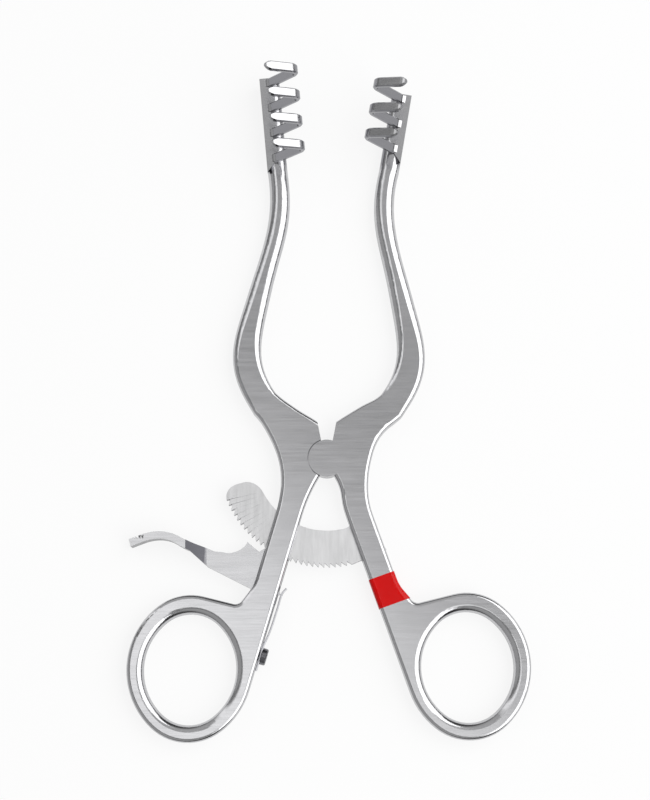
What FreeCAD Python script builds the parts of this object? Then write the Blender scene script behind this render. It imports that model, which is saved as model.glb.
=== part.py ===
# Self retaining retractor: two ring-handled levers on a lap joint, with a toothed bar that
# holds them apart and a thumb lever that lets them go. Millimetres.
# Frame: origin on the pivot axis at the level of the back faces, +Y along the arms towards
# the prongs, +Z out of the front face, the way the prongs point.
import FreeCAD, Part
import math
import os
import sys

from FreeCAD import Placement, Rotation, Vector

os.makedirs("parts", exist_ok=True)
doc = FreeCAD.newDocument("retractor")
sheet = doc.addObject("Spreadsheet::Sheet", "sizes")

SIZES = [
    ("plate_thick", 4.4, "thickness of both levers, back face to front face"),
    ("edge_round", 0.95, "rounding along the edges of plates and shanks"),
    ("boss_radius", 4.45, "radius of each half-thickness pivot boss"),
    ("boss_gap", 0.22, "gap round a boss, seen as a crescent on the front"),
    ("lap_gap", 0.06, "running gap between the two halves of the lap joint"),
    ("screw_radius", 1.7, "shank of the pivot screw"),
    ("screw_head_radius", 2.7, "head of the pivot screw, sunk in the back"),
    ("screw_head_height", 1.0, "depth of that head"),
    ("screw_slot", 0.7, "width of the screwdriver slots"),
    ("run_gap", 0.05, "running clearance of pins and screws, on the radius"),
    ("left_lean", 16.7, "lean of the left shank from the long axis, degrees"),
    ("right_lean", 19.8, "lean of the right shank"),
    ("left_ring_angle", 32.8, "direction of the left ring from the pivot, degrees"),
    ("right_ring_angle", 33.8, "direction of the right ring"),
    ("left_waist", 11.3, "distance from pivot axis to the waist of the left plate"),
    ("right_waist", 10.3, "the same on the right plate"),
    ("arm_splay", 2.3, "how much further out the right arm stands, degrees"),
    ("shank_width", 6.15, "width of a shank, edge to edge"),
    ("ring_reach", 59.65, "pivot axis to the middle of a finger ring"),
    ("ring_bore_width", 21.85, "finger opening across"),
    ("ring_bore_length", 25.95, "finger opening along"),
    ("ring_width", 29.7, "ring outside across"),
    ("ring_length", 34.6, "ring outside along"),
    ("ring_shift", 0.1, "offset of the ring's outside from its opening, outward"),
    ("ring_rise", 0.25, "the same, up"),
    ("ring_tilt", 3.0, "tilt of the rings, degrees"),
    ("ring_round", 1.7, "rounding round the finger opening"),
    ("ring_shoulder", 14.0, "slope from the crotch up to the top of a ring, degrees"),
    ("crotch_out", 2.1, "how far the flare widens the shank down at the crotch"),
    ("crotch_round", 2.0, "radius in the crotch"),
    ("flare_turn", 21.0, "how far the flare turns out from the shank, degrees"),
    ("flare_round", 8.0, "radius where the flare starts"),
    ("rod_width", 4.85, "arm width at the slim end"),
    ("rod_thick", 4.25, "arm thickness at the slim end"),
    ("rod_round", 1.95, "rounding of the slim arm"),
    ("rod_short", 0.4, "how far the rod stops short of the end of its strip"),
    ("left_comb_tilt", 5.2, "outward tilt of the left comb, degrees"),
    ("right_comb_tilt", 9.5, "the same on the right"),
    ("comb_top", 4.85, "height of the flat strip that carries the prongs"),
    ("strip_width", 2.1, "width of that strip"),
    ("strip_thick", 1.45, "thickness of that strip"),
    ("strip_proud", 0.03, "how far the strip stands above the roots of the prongs"),
    ("prong_root", 0.5, "where a prong starts inside the strip"),
    ("prong_width", 2.35, "width of a prong, along the arm"),
    ("prong_thick", 1.25, "thickness of a prong"),
    ("prong_chamfer", 0.3, "broken edges along it"),
    ("prong_pitch", 6.38, "prong to prong"),
    ("top_prong", 94.0, "pivot axis to the topmost prong of the left arm"),
    ("prong_reach", 10.6, "outer edge of the arm to the bend of a prong"),
    ("prong_return", 7.0, "how far the hook comes back from that bend"),
    ("bend_height", 9.3, "rise from the strip to the bend"),
    ("tip_height", 13.6, "rise from the strip to the tip"),
    ("bend_radius", 1.5, "inner radius of the bend"),
    ("root_bend", 2.4, "radius where a prong leaves the level of its strip"),
    ("bar_inner", 17.3, "inner radius of the toothed bar"),
    ("bar_outer", 26.0, "radius over its teeth"),
    ("bar_thick", 2.0, "thickness of the toothed bar"),
    ("bar_gap", 0.1, "gap round the bar in its slots"),
    ("bar_root_angle", 33.0, "how far the bar reaches into the right shank, degrees"),
    ("bar_end_angle", 70.5, "free end of the bar, degrees left of straight down"),
    ("bar_corner", 3.5, "corner radius of the free end"),
    ("tooth_pitch", 3.0, "angle from tooth to tooth, degrees"),
    ("tooth_depth", 0.95, "depth of the saw teeth"),
    ("first_tooth", 12.0, "first tooth, degrees right of straight down"),
    ("rivet_radius", 0.8, "rivets that hold the bar in the right shank"),
    ("rivet_angle", 27.6, "direction of the rivets, degrees right of straight down"),
    ("rivet_spacing", 4.6, "distance between the two rivets"),
    ("slot_end", 37.0, "lower end of the slot through the left shank, along it"),
    ("pin_radius", 0.8, "pin of the release lever"),
    ("pin_out", 12.6, "that pin, left of the pivot axis"),
    ("pin_down", 27.2, "that pin, below the pivot axis"),
    ("hub_radius", 1.7, "eye of the release lever round its pin"),
    ("seat_swing", 6.0, "turn of the release lever from clear of the teeth into them"),
    ("nose_gap", 0.12, "gap between nose and tooth tips as drawn"),
    ("nose_angle", 34.6, "direction of the nose, degrees left of straight down"),
    ("blade_thick", 1.75, "thumb blade, seen from the front"),
    ("blade_depth", 5.2, "thumb blade, front to back"),
    ("serration_pitch", 0.72, "grip grooves on the thumb blade"),
    ("serration_depth", 0.32, "depth of those grooves"),
    ("spring_thick", 0.4, "leaf spring"),
    ("spring_width", 2.6, "leaf spring, front to back"),
    ("spring_foot", 4.9, "lower end of the leaf spring, up from where shank and ring meet"),
    ("spring_hold", 3.7, "its screw, up from that end"),
    ("spring_stand", 0.8, "how far the free leaf stands off the shank"),
    ("small_screw_radius", 0.9, "thread of the spring screw"),
    ("small_head_radius", 2.0, "its head"),
    ("small_head_height", 1.3, "height of that head"),
    ("small_screw_length", 3.6, "thread in the shank"),
    ("tape_length", 7.3, "red band, along the right shank"),
    ("tape_thick", 0.2, "its thickness"),
    ("tape_at", 34.4, "middle of the red band, along the right shank"),
]
for row, (name, size, note) in enumerate(SIZES, start=1):
    sheet.set("A%d" % row, name)
    sheet.set("B%d" % row, str(size))
    sheet.set("C%d" % row, note)
    sheet.setAlias("B%d" % row, name)
doc.recompute()


def size(name):
    return float(sheet.get(name))


def bind(thing, **properties):
    """Tie properties of a document object to cells of the sheet."""
    for name, formula in properties.items():
        thing.setExpression(name, formula)
    return thing


def turn(degrees):
    return math.sin(math.radians(degrees)), math.cos(math.radians(degrees))


def below(radius, degrees, height=0.0):
    """A point at a radius from the pivot axis, degrees left of straight down."""
    sine, cosine = turn(degrees)
    return Vector(-radius * sine, -radius * cosine, height)


def mirrored(point):
    return Vector(-point.x, point.y, point.z)


def sketch(name, curves, placement=None):
    drawing = doc.addObject("Sketcher::SketchObject", name)
    for curve in curves:
        drawing.addGeometry(curve, False)
    if placement is not None:
        drawing.Placement = placement
    return drawing


def body_sketch(body, name, curves, offset=None, role="XY_Plane"):
    drawing = body.newObject("Sketcher::SketchObject", name)
    plane = next(item for item in body.Origin.OriginFeatures if item.Role == role)
    drawing.AttachmentSupport = [(plane, "")]
    drawing.MapMode = "FlatFace"
    if offset is not None:
        drawing.AttachmentOffset = offset
    for curve in curves:
        drawing.addGeometry(curve, False)
    return drawing


def line(start, end):
    return Part.LineSegment(start, end)


def closed_lines(points):
    return [line(a, b) for a, b in zip(points, points[1:] + points[:1])]


def spline(points, start_tangent, end_tangent):
    curve = Part.BSplineCurve()
    curve.interpolate(Points=points, InitialTangent=start_tangent, FinalTangent=end_tangent)
    return curve


def arc_from(start, way, end):
    """The arc that leaves a point in a given direction and ends at another point."""
    chord = end - start
    way = Vector(way).normalize()
    side = way - chord * (way.dot(chord) / chord.Length ** 2)
    if side.Length < 1e-6:
        return line(start, end)
    sagitta = chord.Length / 2 * math.tan(way.getAngle(chord) / 2)
    return Part.Arc(start, (start + end) / 2 + side.normalize() * sagitta, end)


def arc_pair(start, way, end, end_way):
    """Two arcs that meet smoothly, from one point and direction to another."""
    way, end_way = Vector(way).normalize(), Vector(end_way).normalize()
    chord, ways = end - start, way + end_way
    spread = 2 * (1 - way.dot(end_way))
    if spread < 1e-9:
        reach = chord.Length ** 2 / (2 * chord.dot(ways))
    else:
        along = chord.dot(ways)
        reach = (math.sqrt(along ** 2 + spread * chord.Length ** 2) - along) / spread
    meet = (start + way * reach + end - end_way * reach) / 2
    # The second arc is drawn backwards from its end, so that it ends in the given direction.
    return [arc_from(start, way, meet), arc_from(end, end_way * -1, meet)]


def smooth_arcs(points, first_way, last_way):
    """Pairs of arcs through points; between the ends each heading is that of a circle through three."""
    ways = [first_way]
    for before, point, after in zip(points, points[1:], points[2:]):
        back, ahead = point - before, after - point
        ways.append(back * ahead.Length ** 2 + ahead * back.Length ** 2)
    ways.append(last_way)
    curves = []
    for start, way, end, end_way in zip(points, ways, points[1:], ways[1:]):
        curves += arc_pair(start, way, end, end_way)
    return curves


def circle(radius, centre=Vector()):
    return Part.Circle(centre, Vector(0, 0, 1), radius)


def extrude(name, profile, formula):
    solid = doc.addObject("Part::Extrusion", name)
    solid.Base = profile
    solid.DirMode = "Normal"
    solid.Solid = True
    return bind(solid, LengthFwd=formula)


def cylinder(name, radius, height, bottom="0"):
    """An upright cylinder on the pivot axis, from three formulas."""
    solid = doc.addObject("Part::Cylinder", name)
    bind(solid, Radius=radius, Height=height)
    solid.setExpression("Placement.Base.z", bottom)
    return solid


def fuse(name, *pieces):
    solid = doc.addObject("Part::MultiFuse", name)
    solid.Shapes = list(pieces)
    return solid


def cut(name, base, tool):
    solid = doc.addObject("Part::Cut", name)
    solid.Base = base
    solid.Tool = tool
    return solid


class Oval:
    """A four-arc oval: two end arcs, of the end curvature of an ellipse, and two side arcs."""

    def __init__(self, centre, across, up, width, length):
        half_width, half_length = width / 2, length / 2
        self.across, self.up = across, up
        self.end_radius = half_width ** 2 / half_length
        reach = half_length - self.end_radius
        self.side_radius = ((reach ** 2 + half_width ** 2 - self.end_radius ** 2)
                            / (2 * (half_width - self.end_radius)))
        shift = self.side_radius - half_width
        self.top, self.foot = centre + up * reach, centre - up * reach
        self.outer, self.inner = centre - across * shift, centre + across * shift
        self.corner = Vector(abs(shift), abs(reach), 0).normalize()

    def joint(self, out, up):
        """Direction from the middle of an arc to where it meets its neighbour."""
        return self.across * (self.corner.x * out) + self.up * (self.corner.y * up)

    def arc(self, centre, radius, start_way, end_way):
        middle_way = (start_way + end_way).normalize()
        return Part.Arc(centre + start_way * radius, centre + middle_way * radius,
                        centre + end_way * radius)

    def bow(self, top_way, inner_way):
        """From the top round by the outer side and the foot to the inner side."""
        return [self.arc(self.top, self.end_radius, top_way, self.joint(1, 1)),
                self.arc(self.outer, self.side_radius, self.joint(1, 1), self.joint(1, -1)),
                self.arc(self.foot, self.end_radius, self.joint(1, -1), self.joint(-1, -1)),
                self.arc(self.inner, self.side_radius, self.joint(-1, -1), inner_way)]

    def whole(self):
        return self.bow(self.joint(-1, 1), self.joint(-1, 1))


class Shank:
    """The straight inner edge of a shank and its ring, drawn as for the right-hand side."""

    def __init__(self, side):
        sine, cosine = turn(size(side + "_lean"))
        self.along = Vector(sine, -cosine, 0)
        self.outward = Vector(cosine, sine, 0)
        ring_sine, ring_cosine = turn(size(side + "_ring_angle"))
        bore_centre = Vector(ring_sine, -ring_cosine, 0) * size("ring_reach")
        tilt_sine, tilt_cosine = turn(size("ring_tilt"))
        across, up = Vector(tilt_cosine, tilt_sine, 0), Vector(-tilt_sine, tilt_cosine, 0)
        self.bore = Oval(bore_centre, across, up, size("ring_bore_width"), size("ring_bore_length"))
        ring_centre = bore_centre + Vector(size("ring_shift"), size("ring_rise"), 0)
        self.ring = Oval(ring_centre, across, up, size("ring_width"), size("ring_length"))
        # The inner edge runs straight into the inner side of the ring and touches it there.
        self.inset = self.ring.inner.dot(self.outward) - self.ring.side_radius
        self.ring_meets = self.ring.inner.dot(self.along)
        # The outer edge flares out to the crotch, where the shoulder of the ring starts.
        slope_sine, slope_cosine = turn(size("ring_shoulder"))
        self.shoulder_way = Vector(-slope_sine, slope_cosine, 0)
        shoulder = self.ring.top + self.shoulder_way * self.ring.end_radius
        slope = Vector(slope_cosine, slope_sine, 0)
        crotch_off = self.inset + size("shank_width") + size("crotch_out")
        back = (shoulder.dot(self.outward) - crotch_off) / slope.dot(self.outward)
        crotch = shoulder - slope * back
        self.flare_start = crotch.dot(self.along) - size("crotch_out") / math.tan(
            math.radians(size("flare_turn")))
        self.flare = [self.point(self.flare_start, -size("shank_width")), crotch, shoulder]

    def point(self, along, off=0.0, height=0.0):
        """A point beside the inner edge; off is positive away from the shank."""
        place = self.along * along + self.outward * (self.inset - off)
        return Vector(place.x, place.y, height)


# Arm stations, drawn as for the right-hand side: middle (out, up), heading (degrees outward
# from the long axis), width, thickness and rounding as shares from plate (0) to slim rod (1).
ARM_START = (15.0, 13.4, 45.0)
ARM_START_WIDTH = 7.3
ARM_STATIONS = [
    (17.95, 18.8, 20.0, 7.05, 0.18),
    (19.3, 25.75, 0.0, 6.8, 0.45),
    (18.4, 32.4, -13.0, 6.1, 0.75),
    (16.4, 40.3, -16.0, 5.4, 0.95),
    (14.2, 48.3, -15.5, None, 1.0),
    (12.2, 56.3, -11.0, None, 1.0),
    (11.5, 64.4, 0.0, None, 1.0),
]
COMB_START = 72.7


def splay_of(side):
    """How much further out than the left arm an arm stands, degrees."""
    return size("arm_splay") if side == "right" else 0.0


def turned(point, degrees):
    """A point turned about the pivot axis, outward for a right-hand arm."""
    return Rotation(Vector(0, 0, 1), -degrees).multVec(point)


def section_placement(middle, heading):
    """Stands a sketch across the arm: its x outward, its y up."""
    sine, cosine = turn(heading)
    across = Vector(cosine, -sine, 0)
    upright = Vector(0, 0, 1)
    return Placement(middle, Rotation(across, upright, across.cross(upright), "ZXY"))


def chamfered_section(width, thick, corner):
    """A rectangle with broken corners about the origin, as corner points."""
    side, top = width / 2, thick / 2
    return [Vector(x, y, 0) for x, y in (
        (side, top - corner), (side - corner, top), (corner - side, top), (-side, top - corner),
        (-side, corner - top), (corner - side, -top), (side - corner, -top), (side, corner - top))]


def rounded_section(width, thick, radius, bottom=0.0):
    """A rounded rectangle, centred in x, that stands at a level of y."""
    side, low, high = width / 2 - radius, bottom + radius, bottom + thick - radius
    arcs = []
    for x, y, start in ((side, high, 0), (-side, high, 90), (-side, low, 180), (side, low, 270)):
        corner = circle(radius, Vector(x, y, 0))
        arcs.append(Part.ArcOfCircle(corner, math.radians(start), math.radians(start + 90)))
    outline = []
    for arc, following in zip(arcs, arcs[1:] + arcs[:1]):
        outline += [arc, line(arc.EndPoint, following.StartPoint)]
    return outline


def comb_frame(side):
    """Outer edge line of the comb: a point on it, its direction up and its way inward."""
    sine, cosine = turn(size(side + "_comb_tilt"))
    up = Vector(sine, cosine, 0)
    inward = Vector(-cosine, sine, 0)
    last_out, last_up = ARM_STATIONS[-1][:2]
    foot = turned(Vector(last_out, last_up, 0), splay_of(side))
    return foot - inward * (size("rod_width") / 2), up, inward


def comb_point(side, radius, inward_by=0.0):
    """The point of the comb's outer edge at a radius from the pivot axis, moved inward."""
    foot, up, inward = comb_frame(side)
    middle = foot + inward * (size("prong_reach") / 2)
    along = -middle.dot(up) + math.sqrt(radius ** 2 - (middle - up * middle.dot(up)).Length ** 2)
    return foot + up * along + inward * inward_by


# The rest of the plate's outline, drawn as for the right-hand side. Along the shank: where its
# straight inner edge starts, and how much later the outer one does.
SHANK_TOP = 14.5
OUTER_LAG = 2.0
# The outer edge has its waist at this level, and a shoulder that far from the waist.
WAIST_LEVEL = -1.9
SHOULDER = Vector(2.6, 7.3, 0)
# The inner edge comes up to the boss at a knee, in shares of its radius, runs on below it and
# leaves it again from a notch that narrows to its foot.
KNEE = Vector(0.455, -1.056, 0)
NOTCH_FOOT = Vector(1.2, 3.3, 0)
NOTCH_CORNER = Vector(2.3, 8.9, 0)
NOTCH_WAY = Vector(0.82, 0.57, 0)
INNER_BOW = Vector(7.6, 12.25, 0)


def middle_of(curve):
    return curve.value((curve.FirstParameter + curve.LastParameter) / 2)


def bent_path(points, radii):
    """Straight runs joined by arcs of the given radii."""
    curves = []
    start = points[0]
    for before, corner, after, radius in zip(points, points[1:], points[2:], radii):
        back = (before - corner).normalize()
        ahead = (after - corner).normalize()
        half_angle = back.getAngle(ahead) / 2
        reach = radius / math.tan(half_angle)
        first, last = corner + back * reach, corner + ahead * reach
        centre = corner + (back + ahead).normalize() * (radius / math.sin(half_angle))
        middle = centre + (corner - centre).normalize() * radius
        curves.append(line(start, first))
        curves.append(Part.Arc(first, middle, last))
        start = last
    curves.append(line(start, points[-1]))
    return curves


def plate(side, shank):
    """Plate, shank and ring as one outline, padded and rounded."""
    out, up, heading = ARM_START
    splay = splay_of(side)
    sine, cosine = turn(heading + splay)
    heading_way = Vector(sine, cosine, 0)
    across = Vector(cosine, -sine, 0)
    middle = turned(Vector(out, up, 0), splay)
    start_outer = middle + across * (ARM_START_WIDTH / 2)
    start_inner = middle - across * (ARM_START_WIDTH / 2)
    waist = Vector(size(side + "_waist"), WAIST_LEVEL, 0)
    outer_top = shank.point(SHANK_TOP + OUTER_LAG, -size("shank_width"))
    outer_edge = smooth_arcs([start_outer, waist + SHOULDER, waist, outer_top],
                             heading_way * -1, shank.along)
    flare = bent_path([outer_top, *shank.flare], [size("flare_round"), size("crotch_round")])
    bow = shank.ring.bow(shank.shoulder_way, shank.outward * -1)
    inner_foot, inner_top = shank.point(shank.ring_meets), shank.point(SHANK_TOP)
    boss = size("boss_radius")
    knee = Vector(KNEE.x * boss, KNEE.y * boss, 0)
    hidden_foot = Vector(NOTCH_FOOT.x, -NOTCH_FOOT.y, 0)
    knee_edge = arc_pair(inner_top, shank.along * -1, knee, hidden_foot - knee)
    knee_edge.append(line(knee, hidden_foot))
    inner_edge = smooth_arcs([NOTCH_CORNER, INNER_BOW, start_inner], NOTCH_WAY, heading_way)
    sharp = [line(hidden_foot, NOTCH_FOOT), line(NOTCH_FOOT, NOTCH_CORNER),
             line(start_inner, start_outer)]
    curves = outer_edge + flare + bow + [line(inner_foot, inner_top)] + knee_edge + inner_edge
    outline = sketch(side + "_outline", curves + sharp)
    slab = extrude(side + "_slab", outline, "sizes.plate_thick")
    rim = shank.bore.whole()
    opening = extrude(side + "_bore", sketch(side + "_opening", rim), "sizes.plate_thick")
    blank = cut(side + "_blank", slab, opening)
    doc.recompute()

    def lies_on(point, curves):
        return min(point.distanceToPoint(middle_of(curve)) for curve in curves) < 1e-3

    rounds = []
    for index, edge in enumerate(blank.Shape.Edges, start=1):
        level = edge.valueAt((edge.FirstParameter + edge.LastParameter) / 2)
        level.z = 0
        if edge.BoundBox.ZLength > 1e-6 or lies_on(level, sharp):
            continue
        radius = size("ring_round") if lies_on(level, rim) else size("edge_round")
        rounds.append((index, radius, radius))
    rounded = doc.addObject("Part::Fillet", side + "_plate")
    rounded.Base = blank
    rounded.Edges = rounds
    return rounded


def arm(side):
    """The curved arm: rounded sections that go from flat plate to slim rod."""
    splay = splay_of(side)

    def add(number, middle, heading, width, share):
        thick = size("plate_thick") + share * (size("rod_thick") - size("plate_thick"))
        radius = size("edge_round") + share * (size("rod_round") - size("edge_round"))
        placement = section_placement(middle, heading)
        curves = rounded_section(width or size("rod_width"), thick, radius)
        return sketch("%s_section_%d" % (side, number), curves, placement)

    sections = []
    for out, up, heading, width, share in [(*ARM_START, ARM_START_WIDTH, 0.0), *ARM_STATIONS]:
        middle = turned(Vector(out, up, 0), splay)
        sections.append(add(len(sections), middle, heading + splay, width, share))
    start = comb_point(side, COMB_START, size("rod_width") / 2)
    sections.append(add(len(sections), start, size(side + "_comb_tilt"), None, 1.0))
    curved = doc.addObject("Part::Loft", side + "_arm")
    curved.Sections = sections
    curved.Solid = True
    curved.Ruled = False
    straight = doc.addObject("Part::Extrusion", side + "_comb")
    straight.Base = sections[-1]
    straight.DirMode = "Normal"
    straight.Solid = True
    straight.Reversed = True
    rod_end = comb_point(side, comb_end(side) - size("rod_short"), size("rod_width") / 2)
    straight.LengthFwd = (rod_end - start).Length
    return [curved, straight]


def prong_radii(side):
    """Distances of the prongs from the pivot axis: the two combs interleave."""
    count, shift = (4, 0.0) if side == "left" else (3, 0.5)
    return [size("top_prong") - (shift + number) * size("prong_pitch") for number in range(count)]


def comb_end(side):
    return prong_radii(side)[0] + size("prong_width") / 2


def prong_profile():
    """Side view of a prong: x inward from the arm's outer edge, y up."""
    half = size("prong_thick") / 2
    level = size("comb_top") - size("strip_proud") - half
    reach = size("prong_reach") - half
    root = Vector(size("prong_root"), level, 0)
    rise = Vector(size("strip_width"), level, 0)
    bend = Vector(reach, level + size("bend_height"), 0)
    tip = Vector(reach - size("prong_return"), level + size("tip_height"), 0)
    return root, rise, bend, tip


# The tip of a prong narrows to a small blunt end: way ahead, share of the width, of the
# thickness and of the broken edges.
PRONG_TIP = [(0.0, 1.0, 1.0, 1.0), (0.75, 0.86, 0.94, 1.2), (1.3, 0.6, 0.78, 1.2), (1.6, 0.34, 0.5, 0.9)]


def prong(side, number, radius):
    """A flat band that leaves the strip, bends and comes back as a blunt hook."""
    thick, width, corner = size("prong_thick"), size("prong_width"), size("prong_chamfer")
    foot, up, inward = comb_frame(side)
    stand = Placement(comb_point(side, radius), Rotation(inward, Vector(0, 0, 1), up, "ZXY"))
    root, rise, bend, tip = prong_profile()
    curves = bent_path([root, rise, bend, tip], [size("root_bend"), size("bend_radius") + thick / 2])
    path = Part.Wire([curve.toShape() for curve in curves])

    def band(wide, deep, broken, placement):
        corners = chamfered_section(width * wide, thick * deep, corner * broken)
        wire = Part.makePolygon(corners + corners[:1])
        wire.Placement = placement
        return wire

    # The section stands across the start of the path: its x along the arm, its y up.
    across_start = Rotation(Vector(0, 0, 1), Vector(0, 1, 0), Vector(-1, 0, 0), "ZXY")
    shell = Part.BRepOffsetAPI.MakePipeShell(path)
    shell.setFrenetMode(True)
    shell.add(band(1, 1, 1, Placement(root, across_start)))
    shell.build()
    shell.makeSolid()
    heading = (tip - bend).normalize()
    across_tip = Rotation(Vector(0, 0, 1), heading.cross(Vector(0, 0, 1)), heading, "ZXY")
    wires = [band(wide, deep, broken, Placement(tip + heading * ahead, across_tip))
             for ahead, wide, deep, broken in PRONG_TIP]
    piece = doc.addObject("Part::Feature", "%s_prong_%d" % (side, number))
    piece.Shape = shell.shape().fuse(Part.makeLoft(wires, True, True)).removeSplitter()
    piece.Placement = stand
    return piece


# The strip starts below its lowest prong with a slanted end.
STRIP_LEAD = 3.4
STRIP_SLANT = 2.5


def strip(side):
    """The flat outer strip of the comb, level with the roots of its prongs."""
    low = prong_radii(side)[-1] - STRIP_LEAD
    end = comb_end(side) + size("strip_proud")
    width = size("strip_width")
    points = [comb_point(side, low), comb_point(side, low + STRIP_SLANT, width),
              comb_point(side, end, width), comb_point(side, end)]
    plan = sketch(side + "_strip_plan", closed_lines(points))
    plan.setExpression("Placement.Base.z", "sizes.comb_top - sizes.strip_thick")
    return extrude(side + "_strip", plan, "sizes.strip_thick")


def lever(side, upper_boss):
    """One whole lever, drawn as for the right-hand side."""
    shank = Shank(side)
    middle = "sizes.plate_thick / 2"
    half = middle + " - sizes.lap_gap / 2"
    clear = "sizes.boss_radius + sizes.boss_gap"
    if upper_boss:
        boss = cylinder(side + "_boss", "sizes.boss_radius", half, middle + " + sizes.lap_gap / 2")
        lap = cylinder(side + "_lap", clear, middle + " + sizes.lap_gap / 2")
    else:
        boss = cylinder(side + "_boss", "sizes.boss_radius", half)
        lap = cylinder(side + "_lap", clear, middle + " + sizes.lap_gap", half)
    prongs = [prong(side, number, radius)
              for number, radius in enumerate(prong_radii(side), start=1)]
    limbs = fuse(side + "_limbs", plate(side, shank), *arm(side))
    forging = cut(side + "_forging", limbs, lap)
    return shank, fuse(side + "_whole", forging, boss, strip(side), *prongs)


def sector(inner, outer, first, last, height=0.0):
    """Outline of a ring sector below the pivot, between two angles left of straight down."""
    def arc(radius, start, end):
        middle = below(radius, (start + end) / 2, height)
        return Part.Arc(below(radius, start, height), middle, below(radius, end, height))
    return [arc(outer, first, last), line(below(outer, last, height), below(inner, last, height)),
            arc(inner, last, first), line(below(inner, first, height), below(outer, first, height))]


BAR_LOW = "(sizes.plate_thick - sizes.bar_thick) / 2"
# Where the heel of the release lever meets the leaf spring, along the left shank.
SPRING_TOUCH = 34.2


def at_bar_level(drawing, gap="0"):
    drawing.setExpression("Placement.Base.z", BAR_LOW + " - " + gap)
    return drawing


def left_slot(shank):
    """Slot right through the left shank, for the bar and the release lever."""
    inner = size("bar_inner") - size("bar_gap") * 2.5
    beyond = 4.0
    first = below(inner, 12.0)
    last = below(inner, 52.0)
    low_in = mirrored(shank.point(size("slot_end"), beyond))
    low_out = mirrored(shank.point(size("slot_end"), -size("shank_width") - beyond))
    top = Part.Arc(first, below(inner, 32.0), last)
    outline = [top, line(last, low_out), line(low_out, low_in), line(low_in, first)]
    drawing = at_bar_level(sketch("left_slot_plan", outline), "sizes.bar_gap")
    return extrude("left_slot", drawing, "sizes.bar_thick + 2 * sizes.bar_gap")


def right_mortise():
    gap = size("bar_gap")
    inner, outer = size("bar_inner") - gap, size("bar_outer") + gap
    outline = sector(inner, outer, -size("bar_root_angle") - 0.2, -8.0)
    return extrude("right_mortise", at_bar_level(sketch("right_mortise_plan", outline)),
                   "sizes.bar_thick")


def pivot_hole():
    """Bore for the screw in the left half of the joint, with the sink for its head."""
    bore = cylinder("left_pivot_bore", "sizes.screw_radius + sizes.run_gap", "sizes.plate_thick")
    sink = cylinder("left_pivot_sink", "sizes.screw_head_radius + sizes.run_gap",
                    "sizes.screw_head_height + sizes.run_gap")
    return fuse("left_pivot_hole", bore, sink)


def pin_hole():
    bore = cylinder("lever_pin_hole", "sizes.pin_radius", "sizes.plate_thick")
    return bind(bore, **{"Placement.Base.x": "-sizes.pin_out", "Placement.Base.y": "-sizes.pin_down"})


def spring_ends(shank):
    """Lower end of the leaf spring and its screw, along the shank."""
    foot = shank.ring_meets - size("spring_foot")
    return foot, foot - size("spring_hold")


def spring_screw_placement(shank):
    """Stands the spring screw on the shank: its z out of the shank's inner edge."""
    out_of = mirrored(shank.outward * -1)
    place = mirrored(shank.point(spring_ends(shank)[1], 0.0, size("plate_thick") / 2))
    return Placement(place, Rotation(Vector(), Vector(0, 0, 1), out_of, "ZYX"))


def build_left_lever(shank, whole):
    other_way = doc.addObject("Part::Mirroring", "left_turned")
    other_way.Source = whole
    other_way.Base = Vector()
    other_way.Normal = Vector(1, 0, 0)
    tapped = doc.addObject("Part::Cylinder", "spring_screw_hole")
    bind(tapped, Radius="sizes.small_screw_radius", Height="sizes.small_screw_length + 1")
    placement = spring_screw_placement(shank)
    placement.Base = placement.multVec(Vector(0, 0, -size("small_screw_length")))
    tapped.Placement = placement
    tools = fuse("left_tools", left_slot(shank), pivot_hole(), pin_hole(), tapped)
    return cut("left_lever", other_way, tools)


def rivet_places():
    middle = (size("bar_inner") + size("bar_outer")) / 2
    half = size("rivet_spacing") / 2
    return [below(middle - half, -size("rivet_angle")), below(middle + half, -size("rivet_angle"))]


def build_right_lever(whole):
    holes = [cylinder("right_pivot_bore", "sizes.screw_radius", "sizes.plate_thick * 0.82")]
    for number, place in enumerate(rivet_places(), start=1):
        hole = cylinder("right_rivet_hole_%d" % number, "sizes.rivet_radius", "sizes.plate_thick")
        hole.Placement.Base = place
        holes.append(hole)
    return cut("right_lever", whole, fuse("right_tools", right_mortise(), *holes))


def new_body(name):
    body = doc.addObject("PartDesign::Body", name)
    body.Label = name
    return body


def pad(body, profile, formula):
    feature = body.newObject("PartDesign::Pad", profile.Name + "_pad")
    feature.Profile = profile
    return bind(feature, Length=formula)


def pocket(body, profile, formula, reverse=False):
    feature = body.newObject("PartDesign::Pocket", profile.Name + "_pocket")
    feature.Profile = profile
    feature.Reversed = reverse
    return bind(feature, Length=formula)


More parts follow.
